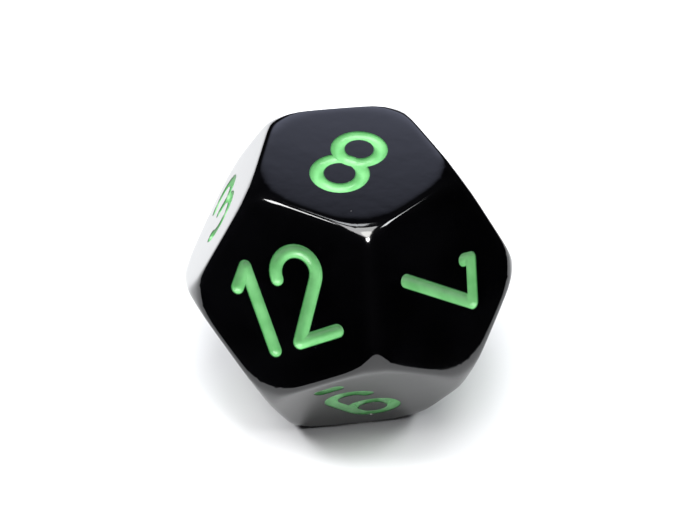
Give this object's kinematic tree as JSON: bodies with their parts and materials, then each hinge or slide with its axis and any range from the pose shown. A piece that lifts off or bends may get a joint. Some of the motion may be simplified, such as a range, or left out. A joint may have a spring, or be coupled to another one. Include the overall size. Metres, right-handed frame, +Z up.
{
  "type": "polyhedral die",
  "caption": "Dodecahedral game die of glossy dark plastic with softened edges, trimmed corners and engraved numerals lined with paint.",
  "frame": {"origin": "middle of the face the die rests on, the face of the numeral 5", "axes": "+Z up through the opposite face, the face of the numeral 8; -Y towards the lower side face of the numeral 9"},
  "size_m": [0.021, 0.0214, 0.018],
  "materials": {
    "body_plastic": "polished",
    "numeral_paint": "glossy enamel"
  },
  "bodies": {
    "root": {"die_body": "body_plastic", "numeral_1_paint": "numeral_paint", "numeral_2_paint": "numeral_paint", "numeral_3_paint": "numeral_paint", "numeral_4_paint": "numeral_paint", "numeral_5_paint": "numeral_paint", "numeral_6_paint": "numeral_paint", "numeral_6_underline_paint": "numeral_paint", "numeral_7_paint": "numeral_paint", "numeral_8_paint": "numeral_paint", "numeral_9_paint": "numeral_paint", "numeral_9_underline_paint": "numeral_paint", "numeral_10_first_digit_paint": "numeral_paint", "numeral_10_second_digit_paint": "numeral_paint", "numeral_11_first_digit_paint": "numeral_paint", "numeral_11_second_digit_paint": "numeral_paint", "numeral_12_first_digit_paint": "numeral_paint", "numeral_12_second_digit_paint": "numeral_paint"}
  },
  "joints": []
}
